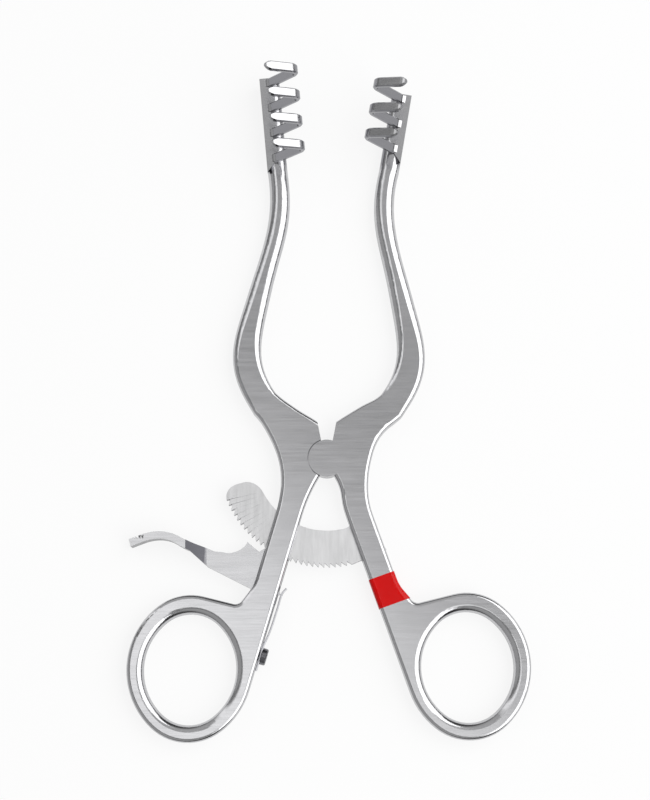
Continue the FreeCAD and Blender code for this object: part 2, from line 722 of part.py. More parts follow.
def build_ratchet_bar():
    """A flat ring sector with saw teeth round its outside, riveted into the right shank."""
    body = new_body("ratchet_bar")
    body.setExpression("Placement.Base.z", BAR_LOW)
    root, end = -size("bar_root_angle"), size("bar_end_angle")
    blank = body_sketch(body, "bar_plan", sector(size("bar_inner"), size("bar_outer"), root, end))
    sector_pad = pad(body, blank, "sizes.bar_thick")
    doc.recompute()
    corners = []
    for index, edge in enumerate(body.Shape.Edges, start=1):
        upright = edge.BoundBox.ZLength > size("bar_thick") / 2
        free = math.degrees(math.atan2(-edge.CenterOfMass.x, -edge.CenterOfMass.y)) > end - 1
        if upright and free:
            corners.append("Edge%d" % index)
    fillet = body.newObject("PartDesign::Fillet", "bar_end")
    fillet.Base = (sector_pad, corners)
    bind(fillet, Radius="sizes.bar_corner")
    body.Tip = fillet
    doc.recompute()
    pitch, outer, depth = size("tooth_pitch"), size("bar_outer"), size("tooth_depth")
    tip = seat_tooth()
    tip -= pitch * math.floor((tip + size("first_tooth")) / pitch)
    over = 0.5
    notch = closed_lines([below(outer + over, tip), below(outer - depth, tip - 0.12 * pitch),
                          below(outer, tip - 0.95 * pitch), below(outer + over, tip - 0.98 * pitch)])
    gullet = pocket(body, body_sketch(body, "tooth_gap", notch), "sizes.bar_thick", reverse=True)
    pattern = body.newObject("PartDesign::PolarPattern", "bar_teeth")
    pattern.Originals = [gullet]
    pattern.Axis = (body_sketch_of(gullet), ["N_Axis"])
    count = int((end - 4.2 - tip) / pitch) + 1
    pattern.Occurrences = count
    pattern.Angle = pitch * (count - 1) if count > 1 else pitch
    pattern.Reversed = True
    body.Tip = pattern
    holes = [circle(size("rivet_radius"), place) for place in rivet_places()]
    pocket(body, body_sketch(body, "bar_rivet_holes", holes), "sizes.bar_thick", reverse=True)
    return body


def body_sketch_of(feature):
    return feature.Profile[0]


def pin_place():
    return Vector(-size("pin_out"), -size("pin_down"), 0)


def swung(point, degrees):
    """A point of the release lever after a turn about its pin, thumb end down."""
    return pin_place() + Rotation(Vector(0, 0, 1), degrees).multVec(point - pin_place())


def nose_tip():
    return below(size("bar_outer") + size("nose_gap"), size("nose_angle"))


def seat_tooth():
    """Direction of the tooth tip that the seated nose bears on, degrees left of down."""
    seated = swung(nose_tip(), -size("seat_swing"))
    return math.degrees(math.atan2(-seated.x, -seated.y)) + 0.75


# The release lever, measured from its pin: middle line of the thumb blade from its tip on, with
# its direction at both ends, and the corners of the web.
BLADE_SPOTS = [Vector(-34.2, 6.85, 0), Vector(-27.3, 8.7, 0), Vector(-18.1, 5.5, 0), Vector(-11.4, 3.9, 0)]
BLADE_TIP_WAY = Vector(0.93, 0.37, 0)
BLADE_END_WAY = Vector(1, -0.12, 0)
BLADE_END_SHARE = 0.4
BLADE_LIFT = 0.45
WEB_TOP = [Vector(-20.8, 5.8, 0), Vector(-13.4, 4.9, 0), Vector(-9.7, 4.7, 0)]
WEB_TOP_WAYS = Vector(0.93, -0.25, 0), Vector(0.35, 0.93, 0)
WEB_LOW = [Vector(-5.0, -4.15, 0), Vector(-15.7, 1.25, 0)]
# The blade runs out into the web with a scoop on both faces, between these distances. The
# scoops end a little inside the web.
SCOOP_START, SCOOP_END, SCOOP_SAG, SCOOP_UNDER = -21.0, -13.2, 0.6, 0.3
# The nose: how far its guard stands off the teeth and where, in degrees from the nose.
GUARD_GAP = 1.5
GUARD_ENDS = (8.9, 5.4, 1.1)
NOSE_FOOT = 4.0
# The heel: how far its corners lie up and down the shank from where it touches, and inside it.
HEEL_TOP = (1.4, 0.5)
HEEL_LOW = (1.2, 0.9)
# Five grip grooves: shares of their pitch, and the height that their cutter stands above.
GROOVES = 5
GROOVE_DEEPEST, GROOVE_END, GROOVE_OVER = 0.2, 0.95, 0.6
FIRST_GROOVE = Vector(0.5, 0.2, 0)


def scoop_outline(level, web_level, over):
    """Side view of one scoop: x along the lever, y up."""
    pin = -size("pin_out")
    start, end, beyond = pin + SCOOP_START, pin + SCOOP_END, pin + BLADE_SPOTS[-1].x + 1
    first, last = Vector(start, level, 0), Vector(end, web_level, 0)
    sag = SCOOP_SAG if web_level < level else -SCOOP_SAG
    middle = (first + last) / 2 - Vector(0, sag, 0)
    return [Part.Arc(first, middle, last), line(last, Vector(beyond, web_level, 0)),
            line(Vector(beyond, web_level, 0), Vector(beyond, over, 0)),
            line(Vector(beyond, over, 0), Vector(start, over, 0)), line(Vector(start, over, 0), first)]


def build_release_lever(shank):
    """Thumb blade that runs down into a flat web; eye, nose and heel lie in the slot."""
    body = new_body("release_lever")
    pin = pin_place()
    half = size("blade_thick") / 2
    offsets = [Vector(-0.25, half, 0), Vector(0, half, 0), Vector(0.3, half, 0),
               Vector(0, half * BLADE_END_SHARE, 0)]
    top_spots = [pin + spot + offset for spot, offset in zip(BLADE_SPOTS, offsets)]
    low_spots = [pin + spot - offset for spot, offset in zip(BLADE_SPOTS, offsets)]
    top = smooth_arcs(top_spots, BLADE_TIP_WAY, BLADE_END_WAY)
    low = smooth_arcs(low_spots, BLADE_TIP_WAY, BLADE_END_WAY)
    ends = [line(top_spots[-1], low_spots[-1]), line(low_spots[0], top_spots[0])]
    blade = body_sketch(body, "blade_plan", top + low + ends)
    blade_low = "sizes.plate_thick / 2 - sizes.blade_depth / 2 + %s" % BLADE_LIFT
    blade.setExpression("AttachmentOffset.Base.z", blade_low)
    pad(body, blade, "sizes.blade_depth")
    web_foot, web_corner = [pin + spot for spot in WEB_LOW]
    web_top = [pin + spot for spot in WEB_TOP]
    below_corner = web_corner + (web_foot - web_corner) * 0.3
    root = body_sketch(body, "blade_root_plan",
                       closed_lines([web_top[0], top_spots[-1], below_corner, web_corner]))
    root.setExpression("AttachmentOffset.Base.z", blade_low)
    pad(body, root, "sizes.blade_depth")
    level = size("plate_thick") / 2 - size("blade_depth") / 2 + BLADE_LIFT
    web_level = (size("plate_thick") - size("bar_thick")) / 2
    scoops = (scoop_outline(level, web_level + SCOOP_UNDER, level - 1)
              + scoop_outline(level + size("blade_depth"),
                              web_level + size("bar_thick") - SCOOP_UNDER,
                              level + size("blade_depth") + 1))
    scooped = pocket(body, body_sketch(body, "scoops", scoops, role="XZ_Plane"),
                     "4 * (sizes.pin_out + sizes.pin_down)")
    scooped.Midplane = True

    hub = size("hub_radius")
    tip = nose_tip()
    guard = size("bar_outer") + GUARD_GAP
    nose = size("nose_angle")
    corner, guard_middle, nose_root_out = [below(guard, nose + off) for off in GUARD_ENDS]
    nose_root_in = below(guard, nose - NOSE_FOOT)
    heel_off = size("spring_stand") - size("spring_thick") / 2 - size("run_gap")
    heel = mirrored(shank.point(SPRING_TOUCH, heel_off))
    heel_top = mirrored(shank.point(SPRING_TOUCH - HEEL_TOP[0], -HEEL_TOP[1]))
    heel_low = mirrored(shank.point(SPRING_TOUCH + HEEL_LOW[0], -HEEL_LOW[1]))
    saddle = smooth_arcs([*web_top, corner], *WEB_TOP_WAYS)
    inner_side = pin + Vector(hub, 0.3, 0)
    eye = Part.Arc(inner_side, pin + Vector(hub * 0.93, -hub * 0.45, 0), pin + Vector(hub * 0.72, -hub, 0))
    outline = saddle + [Part.Arc(corner, guard_middle, nose_root_out), line(nose_root_out, tip),
                        line(tip, nose_root_in), line(nose_root_in, inner_side), eye]
    corners = [eye.EndPoint, heel_top, heel, heel_low, web_foot, web_corner, web_top[0]]
    outline += [line(start, end) for start, end in zip(corners, corners[1:])]
    web = body_sketch(body, "web_plan", outline)
    web.setExpression("AttachmentOffset.Base.z", BAR_LOW)
    pad(body, web, "sizes.bar_thick")
    hole = body_sketch(body, "eye_plan", [circle(size("pin_radius") + size("run_gap"), pin)])
    pocket(body, hole, "sizes.plate_thick", reverse=True)
    depth, pitch = size("serration_depth"), size("serration_pitch")
    start = top_spots[0] + FIRST_GROOVE
    way = Vector(BLADE_TIP_WAY).normalize()
    up = Vector(-way.y, way.x, 0)
    groove = closed_lines([start + up * GROOVE_OVER, start + way * pitch * GROOVE_DEEPEST - up * depth,
                           start + way * pitch * GROOVE_END + up * GROOVE_OVER])
    cutter = pocket(body, body_sketch(body, "groove_plan", groove), "sizes.blade_depth * 2",
                    reverse=True)
    rows = body.newObject("PartDesign::LinearPattern", "grip_grooves")
    rows.Originals = [cutter]
    rows.Direction = (blade, ["H_Axis"])
    rows.Length = pitch * (GROOVES - 1) * way.x
    rows.Occurrences = GROOVES
    body.Tip = rows
    return body


def build_lever_pin():
    body = new_body("lever_pin")
    pad(body, body_sketch(body, "lever_pin_plan", [circle(size("pin_radius"))]), "sizes.plate_thick")
    return bind(body, **{"Placement.Base.x": "-sizes.pin_out", "Placement.Base.y": "-sizes.pin_down"})


def build_rivet(number, place):
    body = new_body("ratchet_rivet_%d" % number)
    profile = body_sketch(body, "rivet_%d_plan" % number, [circle(size("rivet_radius"))])
    pad(body, profile, "sizes.plate_thick")
    body.Placement.Base = place
    return body


def screw_slot(body, name, width, length, level=None):
    """A driver slot cut down from the top of a head."""
    half, side = length / 2, width / 2
    corners = [Vector(-half, -side, 0), Vector(half, -side, 0), Vector(half, side, 0),
               Vector(-half, side, 0)]
    return body_sketch(body, name, closed_lines(corners), level)


def build_pivot_screw():
    """Comes in from the back: flush slotted head, shank through both bosses."""
    body = new_body("pivot_screw")
    head = body_sketch(body, "pivot_head", [circle(size("screw_head_radius"))])
    pad(body, head, "sizes.screw_head_height")
    stem = body_sketch(body, "pivot_stem", [circle(size("screw_radius"))])
    pad(body, stem, "sizes.plate_thick * 0.82")
    slot = screw_slot(body, "pivot_slot", size("screw_slot"), 3 * size("screw_head_radius"))
    pocket(body, slot, "sizes.screw_head_height * 0.55", reverse=True)
    return body


def build_spring_screw(shank):
    """Cheese head on the leaf spring, thread in the shank."""
    body = new_body("spring_screw")
    rise = size("spring_thick")
    seat = Placement(Vector(0, 0, rise), Rotation())
    head = body_sketch(body, "small_head", [circle(size("small_head_radius"))], seat)
    pad(body, head, "sizes.small_head_height")
    foot = Placement(Vector(0, 0, 0.1 - size("small_screw_length")), Rotation())
    stem = body_sketch(body, "small_stem", [circle(size("small_screw_radius"))], foot)
    pad(body, stem, "sizes.small_screw_length + sizes.spring_thick")
    top = Placement(Vector(0, 0, rise + size("small_head_height")), Rotation())
    slot = screw_slot(body, "small_slot", size("screw_slot"), 3 * size("small_head_radius"), top)
    pocket(body, slot, "sizes.small_head_height * 0.5")
    body.Placement = spring_screw_placement(shank)
    return body


def build_leaf_spring(shank):
    """A flat strip screwed to the shank that stands off and presses on the heel."""
    body = new_body("leaf_spring")
    thick, stand = size("spring_thick"), size("spring_stand")
    foot, hold = spring_ends(shank)
    low = thick / 2
    spots = [(hold - 2.4, low), (hold - 6.4, stand * 0.85), (hold - 11.5, stand),
             (SPRING_TOUCH, stand), (SPRING_TOUCH - 1.7, stand + 0.7)]
    near = [mirrored(shank.point(along, off - low)) for along, off in spots]
    far = [mirrored(shank.point(along, off + low)) for along, off in spots]
    way = mirrored(shank.along * -1)
    curl = mirrored(shank.along * -0.75 - shank.outward * 0.66)
    inner, outer = spline(near, way, curl), spline(far, way, curl)
    near_foot, far_foot = mirrored(shank.point(foot)), mirrored(shank.point(foot, thick))
    outline = [line(near_foot, near[0]), inner, line(near[-1], far[-1]), outer,
               line(far[0], far_foot), line(far_foot, near_foot)]
    plan = body_sketch(body, "spring_plan", outline)
    plan.setExpression("AttachmentOffset.Base.z", "(sizes.plate_thick - sizes.spring_width) / 2")
    pad(body, plan, "sizes.spring_width")
    stand_up = spring_screw_placement(shank)
    hole = body_sketch(body, "spring_hole", [circle(size("small_screw_radius"))], stand_up)
    pocket(body, hole, "sizes.spring_thick * 3", reverse=True)
    return body


def build_tape(shank, lever_solid):
    """A red band round the right shank: a short sleeve, hollowed by the shank itself."""
    thick = size("tape_thick")
    across, along = shank.outward, shank.along
    start = size("tape_at") - size("tape_length") / 2
    middle = shank.point(start, -size("shank_width") / 2)
    turned_up = Rotation(across, Vector(0, 0, 1), across.cross(Vector(0, 0, 1)), "ZXY")
    profile = rounded_section(size("shank_width") + 2 * thick, size("plate_thick") + 2 * thick,
                              size("edge_round") + thick, -thick)
    drawing = sketch("tape_section", profile, Placement(middle, turned_up))
    sleeve = extrude("tape_sleeve", drawing, "sizes.tape_length")
    return cut("identification_tape", sleeve, lever_solid)


left_shank, left_whole = lever("left", False)
right_shank, right_whole = lever("right", True)
doc.recompute()
right_lever = build_right_lever(right_whole)
NODES = [build_left_lever(left_shank, left_whole), right_lever, build_pivot_screw(),
          build_ratchet_bar(), build_release_lever(left_shank), build_lever_pin(),
          build_leaf_spring(left_shank), build_spring_screw(left_shank),
          build_tape(right_shank, right_whole)]
NODES += [build_rivet(number, place) for number, place in enumerate(rivet_places(), start=1)]
doc.recompute()

# Nothing is written unless every object computed and every node is one valid solid.
faults = [thing.Name for thing in doc.Objects
          if "Invalid" in thing.State or "Error" in thing.State]
for node in NODES:
    shape = node.Shape
    if shape.isNull() or not shape.isValid() or len(shape.Solids) != 1:
        faults.append(node.Name)
if faults:
    sys.exit("not built: " + ", ".join(sorted(set(faults))))
for node in NODES:
    node.Label = node.Name
    node.Shape.exportStep("parts/%s.step" % node.Label)
    print(node.Label, round(node.Shape.Volume, 1))
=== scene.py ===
# %% [markdown]
# # A self retaining retractor
#
# This lesson dresses a surgical retractor: two forged steel levers with finger rings, crossed on
# a lap joint, with hooked prongs at their tips. A toothed bar and a sprung thumb lever hold the
# spread. The engineering model gives every piece its true size and place. Here each piece gets
# its surface, and the thin, bent or repeated ones are grown anew with Geometry Nodes.
#
# Everything is in metres. X runs to the side with three prongs, Y from the pivot to the prongs,
# Z out of the front face.

# %% Load the fixed frame
import math

import bmesh
import bpy
from mathutils import Matrix, Vector


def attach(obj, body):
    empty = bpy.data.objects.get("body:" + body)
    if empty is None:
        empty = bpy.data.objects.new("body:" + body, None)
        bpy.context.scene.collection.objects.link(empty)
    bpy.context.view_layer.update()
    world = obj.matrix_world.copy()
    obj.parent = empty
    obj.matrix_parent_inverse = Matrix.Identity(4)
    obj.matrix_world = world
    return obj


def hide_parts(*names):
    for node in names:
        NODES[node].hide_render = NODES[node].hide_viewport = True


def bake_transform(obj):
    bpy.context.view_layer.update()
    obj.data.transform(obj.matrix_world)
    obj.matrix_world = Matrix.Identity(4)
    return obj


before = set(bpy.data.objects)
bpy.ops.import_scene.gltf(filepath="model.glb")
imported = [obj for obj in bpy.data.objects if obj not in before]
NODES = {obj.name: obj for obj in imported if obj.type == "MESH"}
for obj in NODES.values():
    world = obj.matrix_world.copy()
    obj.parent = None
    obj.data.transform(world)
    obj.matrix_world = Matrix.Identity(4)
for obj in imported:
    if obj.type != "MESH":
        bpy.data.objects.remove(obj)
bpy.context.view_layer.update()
MM = 0.001
print("nodes:", ", ".join(sorted(NODES)))

# %% [markdown]
# ## The camera
#
# The photograph looks almost straight down on the front face, from the side of the rings: the
# edges that face the rings show, the opposite ones don't, and the prongs, which stand up, lean
# away from the middle of the picture. A camera 47 cm away and a little to the ring side sees
# just that. Its lens is worked out from the width of the view, so the scale stays right when the
# distance is changed.

# %% Camera
CAMERA_DISTANCE = 0.475
CAMERA_ELEVATION = 81.0
VIEW_HEIGHT = 0.1922
VIEW_CENTRE = Vector((-0.00045, 0.01404, 0.0044))
SENSOR = 36.0


def direction(azimuth, elevation):
    """The way from the object to a camera or a lamp; azimuth 0 is the ring side."""
    a, e = math.radians(azimuth), math.radians(elevation)
    return Vector((math.sin(a) * math.cos(e), -math.cos(a) * math.cos(e), math.sin(e)))


def aim(thing, target):
    """Turns a camera or a lamp towards a point, with its top to the prongs."""
    way = (target - thing.location).normalized()
    side = way.cross(Vector((0, 1, 0))).normalized()
    thing.rotation_euler = Matrix((side, side.cross(way), -way)).transposed().to_euler()


def make_camera():
    lens = bpy.data.cameras.new("camera")
    lens.sensor_width = SENSOR
    lens.lens = SENSOR * CAMERA_DISTANCE / VIEW_HEIGHT
    lens.clip_start = 0.01
    camera = bpy.data.objects.new("camera", lens)
    bpy.context.scene.collection.objects.link(camera)
    camera.location = VIEW_CENTRE + direction(0, CAMERA_ELEVATION) * CAMERA_DISTANCE
    aim(camera, VIEW_CENTRE)
    bpy.context.scene.camera = camera
    return camera


camera = make_camera()
print("lens %.1f mm" % camera.data.lens)

# %% [markdown]
# ## Colours and nodes
#
# A colour is picked on a screen as an sRGB hex value, but a shader works with linear light, so
# one function turns the one into the other. A second one adds a node to a tree, sets it up and
# links its inputs. Every material and every Geometry Nodes tree below is made with these two.

# %% Helpers for node trees
MATH, CHOICE = "ShaderNodeMath", "GeometryNodeIndexSwitch"
PLUS, MINUS = {"operation": "ADD"}, {"operation": "SUBTRACT"}
TIMES, OVER = {"operation": "MULTIPLY"}, {"operation": "DIVIDE"}
TIMES_PLUS, ROOT = {"operation": "MULTIPLY_ADD"}, {"operation": "SQRT"}
SINE, COSINE = {"operation": "SINE"}, {"operation": "COSINE"}
WHOLE, REMAINDER = {"operation": "FLOOR"}, {"operation": "MODULO"}
LARGER, SMALLER = {"operation": "MAXIMUM"}, {"operation": "MINIMUM"}
ABOVE, BELOW = {"operation": "GREATER_THAN"}, {"operation": "LESS_THAN"}
UNSIGNED, FRACTION = {"operation": "ABSOLUTE"}, {"operation": "FRACT"}
NUMBERS, COLOURS = {"data_type": "FLOAT"}, {"data_type": "RGBA"}


def linear(hex_colour):
    """An sRGB hex value as linear red, green, blue and alpha."""
    channels = [int(hex_colour[at:at + 2], 16) / 255 for at in (0, 2, 4)]
    return [c / 12.92 if c <= 0.04045 else ((c + 0.055) / 1.055) ** 2.4 for c in channels] + [1.0]


def add_node(tree, kind, settings=None, **inputs):
    """Adds a node; an input is a value, a socket, or a node whose first output is linked.

    An underscore and a number is an input's number. A node of choices gets as many as are given.
    """
    node = tree.nodes.new(kind)
    for name, value in (settings or {}).items():
        setattr(node, name, value)
    numbers = {name: int(name[1:]) for name in inputs if name[1:].isdigit()}
    while kind == CHOICE and len(node.index_switch_items) < max(numbers.values()):
        node.index_switch_items.new()
    for name, value in inputs.items():
        socket = node.inputs[numbers.get(name, name.replace("_", " "))]
        if isinstance(value, bpy.types.Node):
            value = value.outputs[0]
        if isinstance(value, bpy.types.NodeSocket):
            tree.links.new(value, socket)
        else:
            socket.default_value = value
    return node


def new_material(name):
    """An empty node material with its output."""
    material = bpy.data.materials.new(name)
    material.use_nodes = True
    tree = material.node_tree
    tree.nodes.clear()
    return material, tree, tree.nodes.new("ShaderNodeOutputMaterial")


# %% [markdown]
# ## Satin stainless steel
#
# The levers are martensitic stainless steel, forged, then brushed on a belt and blasted dull, so
# that they don't dazzle under a surgical lamp. The eye sees a soft grey mirror with very fine
# lines across the flats. Real belt lines are some hundredths of a millimetre wide, which no
# picture of the whole instrument can show, so they are drawn at 0.25 mm, with a few wider
# streaks. Both are one noise, stretched along X. A third, round one makes the faint clouds that
# a hand-held belt leaves. The walls, and the steep faces behind the prongs and in the thumb
# lever's scoop, get a darker colour, which is painted shade.

# %% Satin steel
# Sizes of the patterns in millimetres.
BRUSH_WIDTH, BRUSH_LENGTH, BRUSH_DEPTH = 0.25, 9.0, 0.02
STREAK_WIDTH = 1.3
CLOUD_SIZE = 14.0
HOLLOW_EDGE = 2.0
CLOUD_DARKEST = 0.9
# Where a noise counts as low and as high: the fine lines, and the sharper streaks.
LINE_LOW, LINE_HIGH = 0.3, 0.7
STREAK_LOW, STREAK_HIGH = 0.35, 0.65
# A face is a wall, and gets the painted wall shade, where the height of its normal falls from
# the first value to the second.
WALL_BEGINS, WALL_FULL = 0.3, 0.05


def brushed_steel(name, hex_colour, wall_shade_colour, roughness, spread=0.04, bump=0.05, turn=0.0,
                  streaks=0.06, shaded_hollows=None):
    """Brushed steel; its lines run along X, turned by an angle.

    The walls get a darker colour as painted shade. The shaded hollows are painted shade on steep
    faces: two tilts, as heights of the normal, where the shade begins and is full, the level
    along Y where it begins, and the shade's colour.
    """
    material, tree, output = new_material(name)
    place = add_node(tree, "ShaderNodeTexCoord").outputs["Object"]
    swung = add_node(tree, "ShaderNodeMapping", Vector=place, Rotation=(0, 0, math.radians(turn)))
    patterns = []
    for width in (BRUSH_WIDTH, STREAK_WIDTH):
        stretched = add_node(tree, "ShaderNodeMapping", Vector=swung,
                             Scale=(1000 / BRUSH_LENGTH, 1000 / width, 1000 / BRUSH_LENGTH))
        patterns.append(add_node(tree, "ShaderNodeTexNoise", Vector=stretched, Scale=1.0,
                                 Detail=3.0, Roughness=0.6))
    lines, wide = patterns
    clouds = add_node(tree, "ShaderNodeTexNoise", Vector=place, Scale=1000 / CLOUD_SIZE, Detail=2.0)
    high = linear(hex_colour)
    low = [CLOUD_DARKEST * c for c in high[:3]] + [1.0]
    cloudy = add_node(tree, "ShaderNodeMix", COLOURS, Factor=clouds, _6=low, _7=high)
    streak = add_node(tree, "ShaderNodeMapRange", Value=wide, From_Min=STREAK_LOW,
                      From_Max=STREAK_HIGH, To_Min=1.0 - streaks, To_Max=1.0)
    streaky = add_node(tree, "ShaderNodeMix", {"data_type": "RGBA", "blend_type": "MULTIPLY"},
                       Factor=1.0, _6=cloudy.outputs[2], _7=streak)
    # Painted shade: the walls take a darker colour, for the dark room that they mirror.
    facing = add_node(tree, "ShaderNodeSeparateXYZ",
                      _0=add_node(tree, "ShaderNodeNewGeometry").outputs["Normal"])
    upright = add_node(tree, MATH, UNSIGNED, _0=facing.outputs["Z"])
    wall = add_node(tree, "ShaderNodeMapRange", Value=upright, From_Min=WALL_BEGINS,
                    From_Max=WALL_FULL)
    tint = add_node(tree, "ShaderNodeMix", COLOURS, Factor=wall, _6=streaky.outputs[2],
                    _7=linear(wall_shade_colour))
    # Painted shade: steep faces beyond a level along Y, behind the prongs and in the scoop, take a
    # darker colour.
    if shaded_hollows:
        first_tilt, full_tilt, level, hollow_shade_colour = shaded_hollows
        steep_faces = add_node(tree, "ShaderNodeMapRange", Value=upright, From_Min=first_tilt,
                          From_Max=full_tilt)
        zone = add_node(tree, "ShaderNodeMapRange", From_Min=level,
                        From_Max=level + HOLLOW_EDGE * MM,
                        Value=add_node(tree, "ShaderNodeSeparateXYZ", _0=place).outputs["Y"])
        hollow_shade_mask = add_node(tree, MATH, TIMES, _0=steep_faces, _1=zone)
        tint = add_node(tree, "ShaderNodeMix", COLOURS, Factor=hollow_shade_mask, _6=tint.outputs[2],
                        _7=linear(hollow_shade_colour))
    rough = add_node(tree, "ShaderNodeMapRange", Value=lines, From_Min=LINE_LOW,
                     From_Max=LINE_HIGH, To_Min=roughness - spread, To_Max=roughness + spread)
    relief = add_node(tree, "ShaderNodeBump", Strength=bump, Distance=BRUSH_DEPTH * MM,
                      Height=lines)
    shader = add_node(tree, "ShaderNodeBsdfPrincipled", Base_Color=tint.outputs[2], Metallic=1.0,
                      Roughness=rough, Normal=relief)
    tree.links.new(shader.outputs[0], output.inputs[0])
    return material


# The second colour of each steel is painted shade on its walls, and the colour after the level is
# painted shade on its steep faces.
lever_steel = brushed_steel("satin_steel_forging", "CACACC", "808084", 0.17,
                            shaded_hollows=(0.78, 0.68, 71 * MM, "8C8C90"))
bar_steel = brushed_steel("ground_steel_strip", "E4E4E5", "8A8A8E", 0.36, turn=90, streaks=0.14)
release_steel = brushed_steel("satin_steel_thumb_lever", "DADADC", "77777B", 0.26,
                              shaded_hollows=(0.995, 0.97, -40 * MM, "505054"))
screw_steel = brushed_steel("turned_steel_screw", "77777B", "5A5A5E", 0.28)
spring_steel = brushed_steel("blue_hard_spring_steel", "B4B4B8", "5C5C60", 0.16, turn=70)
print("steels:", ", ".join(steel.name for steel in (
    lever_steel, bar_steel, release_steel, screw_steel, spring_steel)))

# %% [markdown]
# ## Red marking film
#
# Instruments of one set carry a band of coloured tape. It is a thin glossy polymer film over a
# pressure adhesive, autoclaved many times: a deep flat red, mirror-like on top, with a faint
# waviness where the film follows the brushed metal below.

# %% Marking film
# The waves' size and depth in millimetres.
WAVE_SIZE, WAVE_DEPTH = 3.0, 0.1
FILM_DARKEST = 0.85


def glossy_film(name, hex_colour):
    material, tree, output = new_material(name)
    place = add_node(tree, "ShaderNodeTexCoord").outputs["Object"]
    waves = add_node(tree, "ShaderNodeTexNoise", Vector=place, Scale=1000 / WAVE_SIZE, Detail=1.0)
    relief = add_node(tree, "ShaderNodeBump", Strength=0.12, Distance=WAVE_DEPTH * MM,
                      Height=waves)
    red = linear(hex_colour)
    worn = add_node(tree, "ShaderNodeMix", COLOURS, Factor=waves, _7=red,
                    _6=[FILM_DARKEST * c for c in red[:3]] + [1.0])
    shader = add_node(tree, "ShaderNodeBsdfPrincipled", Base_Color=worn.outputs[2], Roughness=0.12,
                      IOR=1.3, Normal=relief)
    tree.links.new(shader.outputs[0], output.inputs[0])
    return material


red_tape = glossy_film("red_marking_film", "D20000")
print("film:", red_tape.name)

# %% [markdown]
# ## Forgings keep their own shape
#
# The levers, the thumb lever and the flush pins come from the engineering model with exact
# normals for every face, so their roundings already catch the light as the real ones do. They
# keep their mesh and only get the steel. Pins and rivets are ground down together with the lever
# they sit in, so they have its finish, and only their fine outline shows.

# %% Give the carried-over nodes their steel
FINISH = {
    "left_lever": lever_steel, "right_lever": lever_steel, "lever_pin": lever_steel,
    "ratchet_rivet_1": lever_steel, "ratchet_rivet_2": lever_steel,
    "release_lever": release_steel,
}


def dress(thing, material):
    thing.data.materials.clear()
    thing.data.materials.append(material)


for name, material in FINISH.items():
    dress(NODES[name], material)
print("dressed:", ", ".join(FINISH))

# %% [markdown]
# ## Growing pieces from a rule
#
# The bar, the screws, the band and the spring each follow a short rule. A Geometry Nodes tree
# states that rule once, with a named input for every size. Most of the trees start from a flat
# grid and move its points: the number of a point says which row and column it is in, and a
# little arithmetic turns that into an angle, a radius and a height. The result is kept as a
# plain mesh, its double points are joined, and its faces are turned outwards.

# %% Helpers for Geometry Nodes
FINE_JOIN = 0.001 * MM
SHARP_ANGLE = 32.0


def new_tree(name, floats, whole_numbers=(), takes_geometry=False):
    """An empty tree with named inputs; gives the tree and its inputs by name."""
    tree = bpy.data.node_groups.new(name, "GeometryNodeTree")
    tree.interface.new_socket("Geometry", in_out="OUTPUT", socket_type="NodeSocketGeometry")
    if takes_geometry:
        tree.interface.new_socket("Geometry", in_out="INPUT", socket_type="NodeSocketGeometry")
    for label in floats:
        tree.interface.new_socket(label, in_out="INPUT", socket_type="NodeSocketFloat")
    for label in whole_numbers:
        tree.interface.new_socket(label, in_out="INPUT", socket_type="NodeSocketInt")
    sockets = tree.nodes.new("NodeGroupInput").outputs
    return tree, {socket.name: socket for socket in sockets if socket.name}


def end_tree(tree, geometry, material):
    """Realizes instances, sets the material and links the result to the tree's output."""
    real = add_node(tree, "GeometryNodeRealizeInstances", Geometry=geometry)
    coloured = add_node(tree, "GeometryNodeSetMaterial", Geometry=real, Material=material)
    add_node(tree, "NodeGroupOutput", _0=coloured)
    return tree


def grow(name, tree, sizes, place=Matrix(), path=(), extras=()):
    """Runs a tree, and the extra modifiers after it, and keeps the result as a plain mesh."""
    seed = bpy.data.meshes.new(name + "_path")
    seed.from_pydata(path, [(n, n + 1) for n in range(len(path) - 1)], [])
    maker = bpy.data.objects.new(name + "_maker", seed)
    bpy.context.scene.collection.objects.link(maker)
    modifier = maker.modifiers.new(tree.name, "NODES")
    modifier.node_group = tree
    for item in tree.interface.items_tree:
        if item.in_out == "INPUT" and item.name in sizes:
            modifier[item.identifier] = sizes[item.name]
    for kind, settings in extras:
        extra = maker.modifiers.new(kind.lower(), kind)
        for key, value in settings.items():
            setattr(extra, key, value)
    bpy.context.view_layer.update()
    grown = maker.evaluated_get(bpy.context.evaluated_depsgraph_get())
    mesh = bpy.data.meshes.new_from_object(grown)
    bpy.data.objects.remove(maker)
    mesh.name = name
    mesh.transform(place)
    shape = bmesh.new()
    shape.from_mesh(mesh)
    bmesh.ops.remove_doubles(shape, verts=shape.verts, dist=FINE_JOIN)
    bmesh.ops.recalc_face_normals(shape, faces=shape.faces)
    open_edges = sum(1 for edge in shape.edges if not edge.is_manifold)
    shape.to_mesh(mesh)
    shape.free()
    mesh.shade_smooth()
    mesh.set_sharp_from_angle(angle=math.radians(SHARP_ANGLE))
    piece = bpy.data.objects.new(name, mesh)
    bpy.context.scene.collection.objects.link(piece)
    print("%s: %d faces, %d open edges" % (name, len(mesh.polygons), open_edges))
    return piece


def stand_for(node):
    """Hides the CAD node that the piece stands in for."""
    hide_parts(node)


# %% [markdown]
# ## The toothed bar
#
# The bar is a flat strip, stamped and ground, that runs round the pivot with 27 saw teeth on its
# outside. One face of a tooth is almost radial, to hold the thumb lever's nose, the other one is
# a long slope that lets it slide. The grid has two rows, the inner and the outer edge, and three
# columns for each tooth: the end of the land, the gullet and the tip. Behind the last tooth the
# columns follow the two rounded corners of the free end. Extruded and slightly bevelled, it
# catches the light along each tooth, which the plain solid's knife edges don't.

